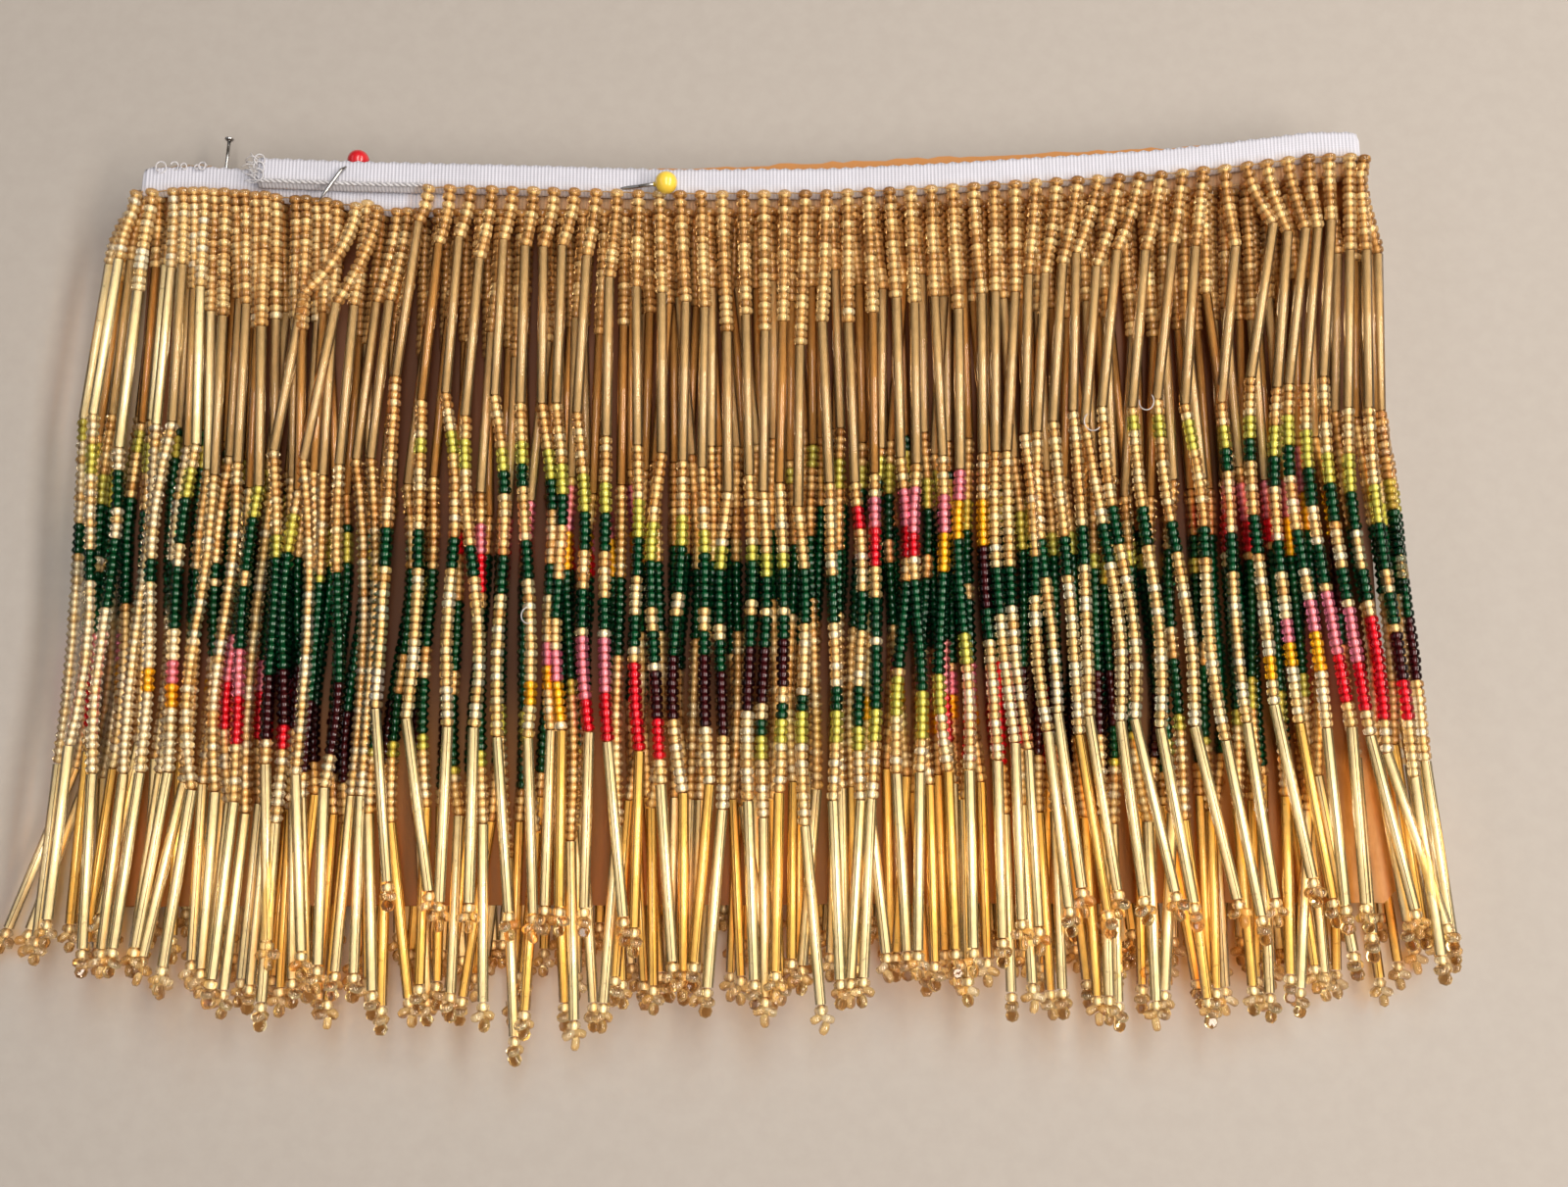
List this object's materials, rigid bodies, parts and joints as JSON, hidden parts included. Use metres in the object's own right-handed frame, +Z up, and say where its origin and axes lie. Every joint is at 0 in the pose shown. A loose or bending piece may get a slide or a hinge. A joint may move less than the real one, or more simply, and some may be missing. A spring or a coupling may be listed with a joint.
{
  "type": "beaded lampshade fringe wound on a card",
  "caption": "Fringe of seed bead and bugle bead strands on a narrow woven tape, wound in layers round a flat card and held with pins.",
  "frame": {"origin": "middle of the underside of the whole, on the surface it lies on", "axes": "+X along the card and the tape, +Y from the strand tips to the tape, +Z up through the layers"},
  "size_m": [0.2558, 0.1722, 0.0184],
  "materials": {
    "card": "brown corrugated board",
    "tape": "woven cotton",
    "beads": "gold-lined glass",
    "yellow_head": "gloss",
    "red_head": "gloss",
    "pin_steel": "drawn wire"
  },
  "bodies": {
    "root": {"card": "card", "header_tape": "tape", "fringe_front_outer": "beads", "fringe_back_outer": "beads", "fringe_front_middle": "beads", "fringe_back_inner": "beads", "fringe_front_inner": "beads", "pin_yellow": "yellow_head", "pin_red": "red_head", "pin_plain": "pin_steel"}
  },
  "joints": []
}
